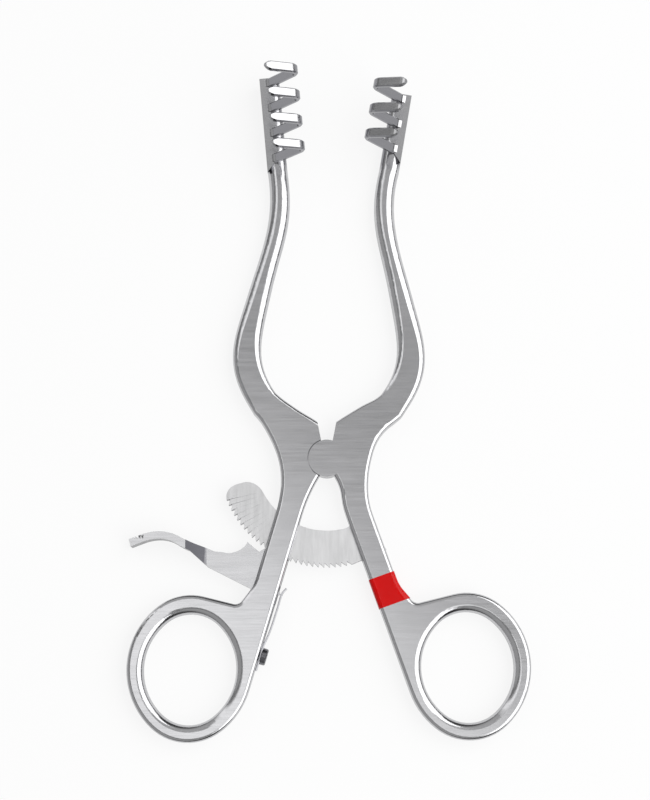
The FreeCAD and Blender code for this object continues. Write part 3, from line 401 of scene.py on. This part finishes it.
# %% Tree of the toothed bar
END_STEPS = 10
ROWS, TOOTH_COLUMNS = 2, 3
LAND_SHARE, GULLET_SHARE, TIP_SHARE = 0.05, 0.88, 0.959
QUARTER_TURN = math.pi / 2


def tooth_columns(tree, size, step):
    """The angle of a tooth's column, and how deep the column lies."""
    part = add_node(tree, MATH, REMAINDER, _0=step, _1=TOOTH_COLUMNS)
    tooth = add_node(tree, MATH, WHOLE, _0=add_node(tree, MATH, OVER, _0=step, _1=TOOTH_COLUMNS))
    within = add_node(tree, CHOICE, NUMBERS, Index=part, _1=LAND_SHARE, _2=GULLET_SHARE,
                      _3=TIP_SHARE)
    share = add_node(tree, MATH, PLUS, _0=tooth, _1=within)
    angle = add_node(tree, MATH, TIMES_PLUS, _0=share, _1=size["Tooth Pitch"],
                     _2=size["First Tooth"])
    is_gullet = add_node(tree, CHOICE, NUMBERS, Index=part, _1=0.0, _2=1.0, _3=0.0)
    return angle, add_node(tree, MATH, TIMES, _0=is_gullet, _1=size["Tooth Depth"])


def corner_drop(tree, corner, radius, angle, start):
    """How far a rounded corner draws the outer edge in at an angle past the corner's start."""
    past = add_node(tree, MATH, TIMES, _0=add_node(tree, MATH, MINUS, _0=angle, _1=start),
                    _1=radius)
    past = add_node(tree, MATH, LARGER, _0=past, _1=0.0)
    square = add_node(tree, MATH, MINUS, _0=add_node(tree, MATH, TIMES, _0=corner, _1=corner),
                      _1=add_node(tree, MATH, TIMES, _0=past, _1=past))
    return add_node(tree, MATH, MINUS, _0=corner, _1=add_node(tree, MATH, ROOT, _0=square))


def end_column(tree, size, swing, reach):
    """The angle and the inset of a point on a rounded corner, by its swing round the corner."""
    sine = add_node(tree, MATH, SINE, _0=swing)
    cosine = add_node(tree, MATH, COSINE, _0=swing)
    short = add_node(tree, MATH, TIMES, _0=add_node(tree, MATH, MINUS, _0=1.0, _1=sine), _1=reach)
    inset = add_node(tree, MATH, TIMES, _0=add_node(tree, MATH, MINUS, _0=1.0, _1=cosine),
                     _1=size["End Round"])
    return add_node(tree, MATH, MINUS, _0=size["End Angle"], _1=short), inset


def inner_angle(tree, size, angle, start):
    """The inner points are spread evenly from the root up to their own rounded corner."""
    last_share = add_node(tree, MATH, PLUS, _0=size["Teeth"], _1=TIP_SHARE - 1)
    last = add_node(tree, MATH, TIMES_PLUS, _0=last_share, _1=size["Tooth Pitch"],
                    _2=size["First Tooth"])
    inner_run = add_node(tree, MATH, MINUS, _0=start, _1=size["Root Angle"])
    outer_run = add_node(tree, MATH, MINUS, _0=last, _1=size["Root Angle"])
    from_root = add_node(tree, MATH, MINUS, _0=angle, _1=size["Root Angle"])
    ratio = add_node(tree, MATH, OVER, _0=inner_run, _1=outer_run)
    return add_node(tree, MATH, TIMES_PLUS, _0=from_root, _1=ratio, _2=size["Root Angle"])


# %% The whole tree of the bar
def bar_tree():
    tree, size = new_tree("saw_toothed_bar", (
        "Inner Radius", "Outer Radius", "Thickness", "Root Angle", "First Tooth", "Tooth Pitch",
        "Tooth Depth", "End Angle", "End Round", "End Start"), ("Teeth",))
    inner, outer, corner = size["Inner Radius"], size["Outer Radius"], size["End Round"]
    steps = add_node(tree, MATH, TIMES, _0=size["Teeth"], _1=TOOTH_COLUMNS)
    columns = add_node(tree, MATH, PLUS, _0=steps, _1=END_STEPS + 1)
    grid = add_node(tree, "GeometryNodeMeshGrid", Vertices_X=columns, Vertices_Y=ROWS)
    index = add_node(tree, "GeometryNodeInputIndex")
    is_outer = add_node(tree, MATH, REMAINDER, _0=index, _1=ROWS)
    column = add_node(tree, MATH, WHOLE, _0=add_node(tree, MATH, OVER, _0=index, _1=ROWS))
    step = add_node(tree, MATH, MINUS, _0=column, _1=1)
    angle, dip = tooth_columns(tree, size, step)
    # Where the rounded corner begins on each edge.
    turn_outer = add_node(tree, MATH, OVER, _0=corner, _1=outer)
    turn_inner = add_node(tree, MATH, OVER, _0=corner, _1=inner)
    start_outer = add_node(tree, MATH, MINUS, _0=size["End Angle"], _1=turn_outer)
    start_inner = add_node(tree, MATH, MINUS, _0=size["End Angle"], _1=turn_inner)
    drop = corner_drop(tree, corner, outer, angle, start_outer)
    deepest = add_node(tree, MATH, LARGER, _0=dip, _1=drop)
    held = inner_angle(tree, size, angle, start_inner)
    # The columns of the free end: a share of a quarter turn on each corner.
    after = add_node(tree, MATH, MINUS, _0=step, _1=steps)
    end_share = add_node(tree, MATH, OVER, _0=add_node(tree, MATH, PLUS, _0=after, _1=1),
                         _1=END_STEPS)
    left = add_node(tree, MATH, MINUS, _0=1.0, _1=end_share)
    swing_inner = add_node(tree, MATH, TIMES, _0=end_share, _1=QUARTER_TURN)
    swing_outer = add_node(tree, MATH, TIMES_PLUS, _0=left, _1=size["End Start"], _2=swing_inner)
    # Angle and inset of both edges: the teeth's, or the free end's.
    is_end = add_node(tree, MATH, ABOVE, _0=after, _1=-0.5)
    edges = []
    for plain_angle, plain_inset, swing, reach in (
            (held, 0.0, swing_inner, turn_inner), (angle, deepest, swing_outer, turn_outer)):
        end_angle, end_inset = end_column(tree, size, swing, reach)
        edges.append((
            add_node(tree, CHOICE, NUMBERS, Index=is_end, _1=plain_angle, _2=end_angle),
            add_node(tree, CHOICE, NUMBERS, Index=is_end, _1=plain_inset, _2=end_inset)))
    (low_angle, low_inset), (high_angle, high_inset) = edges
    # The first column is the root, square across.
    is_root = add_node(tree, MATH, BELOW, _0=column, _1=0.5)
    swung = add_node(tree, CHOICE, NUMBERS, Index=is_outer, _1=low_angle, _2=high_angle)
    turned = add_node(tree, CHOICE, NUMBERS, Index=is_root, _1=swung, _2=size["Root Angle"])
    low = add_node(tree, CHOICE, NUMBERS, Index=is_root, _2=inner,
                   _1=add_node(tree, MATH, PLUS, _0=inner, _1=low_inset))
    high = add_node(tree, CHOICE, NUMBERS, Index=is_root, _2=outer,
                    _1=add_node(tree, MATH, MINUS, _0=outer, _1=high_inset))
    # The angle counts from straight down, to the left.
    radius = add_node(tree, MATH, TIMES, _1=-1.0, _0=add_node(
        tree, CHOICE, NUMBERS, Index=is_outer, _1=low, _2=high))
    x = add_node(tree, MATH, TIMES, _0=radius, _1=add_node(tree, MATH, SINE, _0=turned))
    y = add_node(tree, MATH, TIMES, _0=radius, _1=add_node(tree, MATH, COSINE, _0=turned))
    flat = add_node(tree, "GeometryNodeSetPosition", Geometry=grid,
                    Position=add_node(tree, "ShaderNodeCombineXYZ", X=x, Y=y))
    face = add_node(tree, "GeometryNodeMergeByDistance", Geometry=flat, Distance=FINE_JOIN)
    risen = add_node(tree, "GeometryNodeExtrudeMesh", Mesh=face, Offset=(0, 0, 1),
                     Offset_Scale=size["Thickness"], Individual=False)
    underside = add_node(tree, "GeometryNodeFlipFaces", Mesh=face)
    both = add_node(tree, "GeometryNodeJoinGeometry", _0=risen)
    tree.links.new(underside.outputs[0], both.inputs[0])
    whole = add_node(tree, "GeometryNodeMergeByDistance", Geometry=both, Distance=FINE_JOIN)
    return end_tree(tree, whole, bar_steel)


# %% Grow the toothed bar
BAR_OUTER, BAR_CORNER, BAR_END, BAR_LEVEL = 26.0, 3.5, 74.0, 1.2
# The first tip's angle puts a tooth's face at the thumb lever's nose.
TEETH, TOOTH_PITCH, FIRST_TIP = 27, 3.0, -10.5129
EDGE_BREAK = 0.05
last_tip = FIRST_TIP + (TEETH - 2 + TIP_SHARE) * TOOTH_PITCH
into_corner = math.radians(last_tip - BAR_END) * BAR_OUTER + BAR_CORNER
toothed_bar = grow("toothed_bar", bar_tree(), {
    "Inner Radius": 17.3 * MM, "Outer Radius": BAR_OUTER * MM, "Thickness": 2.0 * MM,
    "Root Angle": math.radians(-33.0), "First Tooth": math.radians(FIRST_TIP - TOOTH_PITCH),
    "Tooth Pitch": math.radians(TOOTH_PITCH), "Tooth Depth": 0.95 * MM, "Teeth": TEETH,
    "End Angle": math.radians(BAR_END), "End Round": BAR_CORNER * MM,
    "End Start": math.asin(max(0.0, into_corner) / BAR_CORNER),
}, Matrix.Translation((0, 0, BAR_LEVEL * MM)),
    extras=[("BEVEL", {"width": EDGE_BREAK * MM, "segments": 1, "limit_method": "ANGLE"})])
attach(toothed_bar, "right_half")
stand_for("ratchet_bar")

# %% [markdown]
# ## The two screws
#
# Both screws are turned on a lathe and slotted: a stem, a flat head with a broken edge, and a
# saw cut across it. So the tree makes a lathe of the grid: a row is a height and a radius, a
# column is an angle, and the rows at the ends close on the axis. A box then cuts the slot. The
# pivot screw lies flush in the back of the left lever, and the small one holds the leaf spring.

# %% Tree of a slotted screw
AROUND = 48
PROFILE_POINTS = 7


def screw_tree():
    tree, size = new_tree("slotted_screw", (
        "Head Radius", "Head Height", "Stem Radius", "Stem Length", "Broken Edge", "Slot Width",
        "Slot Depth"))
    head, top, stem, edge = (size["Head Radius"], size["Head Height"], size["Stem Radius"],
                             size["Broken Edge"])
    grid = add_node(tree, "GeometryNodeMeshGrid", Vertices_X=AROUND + 1, Vertices_Y=PROFILE_POINTS)
    index = add_node(tree, "GeometryNodeInputIndex")
    row = add_node(tree, MATH, REMAINDER, _0=index, _1=PROFILE_POINTS)
    column = add_node(tree, MATH, WHOLE,
                      _0=add_node(tree, MATH, OVER, _0=index, _1=PROFILE_POINTS))
    angle = add_node(tree, MATH, TIMES, _0=column, _1=2 * math.pi / AROUND)
    foot = add_node(tree, MATH, TIMES, _0=size["Stem Length"], _1=-1.0)
    rim = add_node(tree, MATH, MINUS, _0=head, _1=edge)
    side_top = add_node(tree, MATH, MINUS, _0=top, _1=edge)
    # From the foot's middle round the stem and the head to the middle of the top.
    radius = add_node(tree, CHOICE, NUMBERS, Index=row, _1=0.0, _2=stem, _3=stem, _4=head,
                      _5=head, _6=rim, _7=0.0)
    height = add_node(tree, CHOICE, NUMBERS, Index=row, _1=foot, _2=foot, _3=0.0, _4=0.0,
                      _5=side_top, _6=top, _7=top)
    x = add_node(tree, MATH, TIMES, _0=radius, _1=add_node(tree, MATH, COSINE, _0=angle))
    y = add_node(tree, MATH, TIMES, _0=radius, _1=add_node(tree, MATH, SINE, _0=angle))
    spot = add_node(tree, "ShaderNodeCombineXYZ", X=x, Y=y, Z=height)
    turned = add_node(tree, "GeometryNodeSetPosition", Geometry=grid, Position=spot)
    solid = add_node(tree, "GeometryNodeMergeByDistance", Geometry=turned, Distance=FINE_JOIN)
    # The saw blade is wider than the head, and stands half out of it.
    box = add_node(tree, "ShaderNodeCombineXYZ", Y=size["Slot Width"],
                   X=add_node(tree, MATH, TIMES, _0=head, _1=3.0),
                   Z=add_node(tree, MATH, TIMES, _0=size["Slot Depth"], _1=2.0))
    blade = add_node(tree, "GeometryNodeTransform",
                     Geometry=add_node(tree, "GeometryNodeMeshCube", Size=box),
                     Translation=add_node(tree, "ShaderNodeCombineXYZ", Z=top))
    slotted = add_node(tree, "GeometryNodeMeshBoolean", {"operation": "DIFFERENCE"},
                       _0=solid, _1=blade)
    return end_tree(tree, slotted, screw_steel)


# %% Grow the screws
LEFT_LEAN, RIGHT_LEAN = 16.7, 19.8
# How far the shank's inner edge runs beside the line through the pivot.
LEFT_INSET = 1.7491
MIDDLE_LEVEL = 2.2


def shank_ways(side, lean):
    """The ways along a shank, to its ring, and outward; side is -1 on the left, 1 on the right."""
    sine, cosine = math.sin(math.radians(lean)), math.cos(math.radians(lean))
    return Vector((side * sine, -cosine, 0)), Vector((side * cosine, sine, 0))


LEFT_ALONG, LEFT_OUTWARD = shank_ways(-1, LEFT_LEAN)


def left_point(along, off, height=MIDDLE_LEVEL):
    """A point beside the inner edge of the left shank, in metres; off is away from the shank."""
    flat = LEFT_ALONG * along + LEFT_OUTWARD * (LEFT_INSET - off)
    return Vector((flat.x, flat.y, height)) * MM


def axes(origin, x, y, z):
    """A placement from an origin and three directions."""
    place = Matrix((x, y, z)).transposed().to_4x4()
    place.translation = origin
    return place


SPRING_END, SPRING_HOLD, SPRING_THICK = 53.118, 49.418, 0.4
slotted_screw = screw_tree()
pivot = grow("pivot_screw_turned", slotted_screw, {
    "Head Radius": 2.7 * MM, "Head Height": 1.0 * MM, "Stem Radius": 1.7 * MM,
    "Stem Length": 2.6 * MM, "Broken Edge": 0.12 * MM, "Slot Width": 0.7 * MM,
    "Slot Depth": 0.55 * MM,
}, axes(Vector((0, 0, 1.0 * MM)), Vector((1, 0, 0)), Vector((0, -1, 0)), Vector((0, 0, -1))))
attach(pivot, "right_half")
stand_for("pivot_screw")

spring_screw = grow("spring_screw_turned", slotted_screw, {
    "Head Radius": 2.0 * MM, "Head Height": 1.3 * MM, "Stem Radius": 0.9 * MM,
    "Stem Length": 3.8 * MM, "Broken Edge": 0.2 * MM, "Slot Width": 0.7 * MM,
    "Slot Depth": 0.65 * MM,
}, axes(left_point(SPRING_HOLD, SPRING_THICK), -LEFT_ALONG, Vector((0, 0, 1)), -LEFT_OUTWARD))
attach(spring_screw, "left_half")
stand_for("spring_screw")

# %% [markdown]
# ## The leaf spring
#
# A strip of blue-hard spring steel, 0.4 mm thick, is screwed to the inner edge of the left shank.
# It lies flat under its screw, stands off the shank further up, presses on the heel of the
# thumb lever and ends in a small curl. Its middle line is drawn with seven points, and the tree
# runs a smooth curve through them and sweeps the strip's section along it.

# %% Grow the leaf spring
def strip_tree():
    tree, size = new_tree("bent_strip", ("Width", "Thickness", "Broken Edge"), ("Steps",),
                          takes_geometry=True)
    path = add_node(tree, "GeometryNodeMeshToCurve", Mesh=size["Geometry"])
    path = add_node(tree, "GeometryNodeCurveSplineType", {"spline_type": "CATMULL_ROM"}, Curve=path)
    path = add_node(tree, "GeometryNodeResampleCurve", Curve=path, Count=size["Steps"])
    path = add_node(tree, "GeometryNodeSetCurveNormal", {"mode": "Z_UP"}, Curve=path)
    section = add_node(tree, "GeometryNodeCurvePrimitiveQuadrilateral", Width=size["Thickness"],
                       Height=size["Width"])
    section = add_node(tree, "GeometryNodeFilletCurve", {"mode": "POLY"}, Curve=section, Count=2,
                       Radius=size["Broken Edge"])
    swept = add_node(tree, "GeometryNodeCurveToMesh", Curve=path, Profile_Curve=section,
                     Fill_Caps=True)
    return end_tree(tree, swept, spring_steel)


SPRING_LINE = [(SPRING_END, 0.2), (50.0, 0.2), (47.0, 0.2), (43.0, 0.68), (37.9, 0.8),
               (34.2, 0.8), (32.5, 1.5)]
leaf = grow("leaf_spring_strip", strip_tree(), {
    "Width": 2.6 * MM, "Thickness": SPRING_THICK * MM, "Broken Edge": 0.08 * MM, "Steps": 72,
}, path=[left_point(along, off) for along, off in SPRING_LINE])
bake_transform(leaf)
stand_for("leaf_spring")

# %% [markdown]
# ## The red band
#
# The tape goes once round the right shank and laps over its own start on the back, where a
# fingernail finds a small step. The shank begins to flare out to its ring under the tape, and
# the film follows it. The grid is bent round a rectangle with rounded corners: its columns take
# their place on that outline, its rows go along the shank, and the outer half is drawn out with
# the flare. Solidify gives the film its thickness.

# %% Tree of the band
BAND_COLUMNS, BAND_ROWS = 121, 25
CORNER_POINTS = 8
# The lap starts to step down at this share of the first turn.
LAP_STEP = 0.985


def band_tree():
    tree, size = new_tree("marking_band", (
        "Width", "Thickness", "Corner", "Film", "Length", "Lap", "Seam", "Flare Start",
        "Flare Round", "Flare Slope"))
    grown_width = add_node(tree, MATH, TIMES_PLUS, _0=size["Film"], _1=2.0, _2=size["Width"])
    grown_thick = add_node(tree, MATH, TIMES_PLUS, _0=size["Film"], _1=2.0, _2=size["Thickness"])
    outline = add_node(tree, "GeometryNodeCurvePrimitiveQuadrilateral", Width=grown_width,
                       Height=grown_thick)
    outline = add_node(tree, "GeometryNodeFilletCurve", {"mode": "POLY"}, Curve=outline,
                       Count=CORNER_POINTS, Radius=size["Corner"])
    grid = add_node(tree, "GeometryNodeMeshGrid", Vertices_X=BAND_COLUMNS, Vertices_Y=BAND_ROWS)
    index = add_node(tree, "GeometryNodeInputIndex")
    row = add_node(tree, MATH, REMAINDER, _0=index, _1=BAND_ROWS)
    column = add_node(tree, MATH, WHOLE, _0=add_node(tree, MATH, OVER, _0=index, _1=BAND_ROWS))
    turns = add_node(tree, MATH, OVER, _0=column, _1=BAND_COLUMNS - 1)
    full = add_node(tree, MATH, PLUS, _0=size["Lap"], _1=1.0)
    wound = add_node(tree, MATH, TIMES, _0=turns, _1=full)
    placed = add_node(tree, MATH, FRACTION,
                      _0=add_node(tree, MATH, PLUS, _0=wound, _1=size["Seam"]))
    on_outline = add_node(tree, "GeometryNodeSampleCurve", {"mode": "FACTOR"}, Curves=outline,
                          Factor=placed)
    spot = add_node(tree, "ShaderNodeSeparateXYZ", _0=on_outline.outputs["Position"])
    along = add_node(tree, MATH, TIMES, _1=size["Length"],
                     _0=add_node(tree, MATH, OVER, _0=row, _1=BAND_ROWS - 1))
    # The flare: nothing, then an arc, then a straight slope.
    past = add_node(tree, MATH, MINUS, _0=along, _1=size["Flare Start"])
    past = add_node(tree, MATH, LARGER, _0=past, _1=0.0)
    arc_end = add_node(tree, MATH, TIMES, _0=size["Flare Round"], _1=size["Flare Slope"])
    on_arc = add_node(tree, MATH, SMALLER, _0=past, _1=arc_end)
    bow = add_node(tree, MATH, OVER, _0=add_node(tree, MATH, TIMES, _0=on_arc, _1=on_arc),
                   _1=add_node(tree, MATH, TIMES, _0=size["Flare Round"], _1=2.0))
    straight = add_node(tree, MATH, TIMES, _0=add_node(tree, MATH, MINUS, _0=past, _1=on_arc),
                        _1=size["Flare Slope"])
    drawn = add_node(tree, MATH, PLUS, _0=bow, _1=straight)
    side = add_node(tree, MATH, OVER, _0=spot.outputs["X"],
                    _1=add_node(tree, MATH, TIMES, _0=grown_width, _1=0.5))
    side = add_node(tree, MATH, LARGER, _0=side, _1=0.0)
    x = add_node(tree, MATH, TIMES_PLUS, _0=side, _1=drawn, _2=spot.outputs["X"])
    # The lap lies on the back, one film lower.
    lapped = add_node(tree, "ShaderNodeMapRange", Value=wound, From_Min=LAP_STEP, From_Max=1.0)
    y = add_node(tree, MATH, MINUS, _0=spot.outputs["Y"],
                 _1=add_node(tree, MATH, TIMES, _0=lapped, _1=size["Film"]))
    bent = add_node(tree, "GeometryNodeSetPosition", Geometry=grid,
                    Position=add_node(tree, "ShaderNodeCombineXYZ", X=x, Y=y, Z=along))
    return end_tree(tree, bent, red_tape)


# %% Grow the band
RIGHT_ALONG, RIGHT_OUTWARD = shank_ways(1, RIGHT_LEAN)
RIGHT_INSET, SHANK_WIDTH, BAND_START = -0.4061, 6.15, 30.75
FILM_THICK, FLARE_TURN = 0.08, 21.0
band_middle = RIGHT_ALONG * BAND_START + RIGHT_OUTWARD * (RIGHT_INSET + SHANK_WIDTH / 2)
band_place = axes(Vector((band_middle.x, band_middle.y, MIDDLE_LEVEL)) * MM, RIGHT_OUTWARD,
                  Vector((0, 0, 1)), RIGHT_ALONG)
band = grow("red_band", band_tree(), {
    "Width": SHANK_WIDTH * MM, "Thickness": 4.4 * MM, "Corner": 1.05 * MM, "Film": 0.11 * MM,
    "Length": 7.3 * MM, "Lap": 0.1, "Seam": 0.55, "Flare Start": 1.98 * MM,
    "Flare Round": 8.0 * MM, "Flare Slope": math.tan(math.radians(FLARE_TURN)),
}, band_place, extras=[("SOLIDIFY", {"thickness": FILM_THICK * MM, "offset": 0.0})])
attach(band, "right_half")
stand_for("identification_tape")

# %% [markdown]
# ## Studio
#
# Product photographs like this one are made on a white table under large soft lamps. The flats
# mirror what hangs above the camera, a grey ceiling that gets lighter towards the rings. The
# rounded arms mirror a big lamp on the right, and, below it, the dark room at table height,
# which draws the thin dark line along each arm. A grey wall on the left keeps the inner side of
# the right arm from turning black.

# %% Floor
FLOOR_DROP = 0.3 * MM
FLOOR_HALF = 4.0
GLOW_SHARE = 0.85


def make_floor():
    material, tree, output = new_material("white_table")
    paper = add_node(tree, "ShaderNodeBsdfDiffuse", Color=linear("F4F4F4"))
    glow = add_node(tree, "ShaderNodeEmission", Color=linear("FFFFFF"), Strength=1.0)
    path = add_node(tree, "ShaderNodeLightPath")
    seen = add_node(tree, MATH, LARGER, _0=path.outputs["Is Camera Ray"],
                    _1=path.outputs["Is Glossy Ray"])
    share = add_node(tree, MATH, TIMES, _0=seen, _1=GLOW_SHARE)
    mixed = add_node(tree, "ShaderNodeMixShader", _0=share, _1=paper, _2=glow)
    tree.links.new(mixed.outputs[0], output.inputs[0])
    mesh = bpy.data.meshes.new("table")
    corners = [(x * FLOOR_HALF, y * FLOOR_HALF, -FLOOR_DROP)
               for x, y in ((-1, -1), (1, -1), (1, 1), (-1, 1))]
    mesh.from_pydata(corners, [], [(0, 1, 2, 3)])
    table = bpy.data.objects.new("table", mesh)
    bpy.context.scene.collection.objects.link(table)
    dress(table, material)


make_floor()
print("table %.1f mm below the levers' backs" % (FLOOR_DROP / MM))

# %% World
# Brightness of the ceiling, from the ring side and the left (0) to the prong side and the
# right (1), with the point straight above at 0.5.
CEILING = [(0.0, 0.3), (0.1, 0.12), (0.3, 0.22), (0.4, 1.0), (0.55, 0.85), (0.605, 0.26),
           (0.66, 0.25), (0.78, 0.36)]
# Brightness of the room by height, as a share of the ceiling. On the right the scale starts
# at the horizon, on the left, where a grey wall stands, it is already well up there.
WALLS = [(0.0, 0.08), (0.3, 0.15), (0.6, 0.85), (0.9, 1.0)]
LEFT_WALL = 0.6
CEILING_LEAN = 0.9
STRAIGHT_UP = 0.5
ROOM_LIGHT = 1.6


def make_world():
    world = bpy.data.worlds.new("studio")
    bpy.context.scene.world = world
    world.use_nodes = True
    tree = world.node_tree
    tree.nodes.clear()
    way = add_node(tree, "ShaderNodeTexCoord").outputs["Generated"]
    split = add_node(tree, "ShaderNodeSeparateXYZ", _0=way)
    lean = add_node(tree, MATH, TIMES_PLUS, _0=split.outputs["X"], _1=CEILING_LEAN,
                    _2=split.outputs["Y"])
    shifted = add_node(tree, MATH, PLUS, _0=lean, _1=STRAIGHT_UP)
    height = add_node(tree, MATH, TIMES_PLUS, _0=split.outputs["X"], _1=-LEFT_WALL,
                      _2=split.outputs["Z"])
    shares = []
    for value, stops in ((shifted, CEILING), (height, WALLS)):
        share = add_node(tree, "ShaderNodeValToRGB", _0=value)
        ramp = share.color_ramp
        for element, (place, grey) in zip(ramp.elements, (stops[0], stops[-1])):
            element.position, element.color = place, (grey, grey, grey, 1)
        for place, grey in stops[1:-1]:
            ramp.elements.new(place).color = (grey, grey, grey, 1)
        shares.append(share)
    light = add_node(tree, MATH, TIMES, _0=shares[0], _1=shares[1])
    sky = add_node(tree, "ShaderNodeBackground", Color=light, Strength=ROOM_LIGHT)
    add_node(tree, "ShaderNodeOutputWorld", Surface=sky)


make_world()
print("room:", bpy.context.scene.world.name)

# %% Lamps
def softbox(name, azimuth, elevation, distance, width, height, power):
    """A rectangular lamp that faces the pivot."""
    lamp = bpy.data.lights.new(name, "AREA")
    lamp.shape = "RECTANGLE"
    lamp.size, lamp.size_y = width, height
    lamp.energy = power
    thing = bpy.data.objects.new(name, lamp)
    bpy.context.scene.collection.objects.link(thing)
    thing.location = direction(azimuth, elevation) * distance
    aim(thing, Vector((0, 0, 0)))


softbox("right_softbox", azimuth=90, elevation=44, distance=1.2, width=1.4, height=2.2, power=20)
print("lamps:", ", ".join(lamp.name for lamp in bpy.data.lights))

# %% [markdown]
#
# Dressing the retractor must not change its size. The picture is shown with the Standard view
# transform.

# %% Show the picture with the Standard view transform
bpy.context.scene.view_settings.view_transform = "Standard"
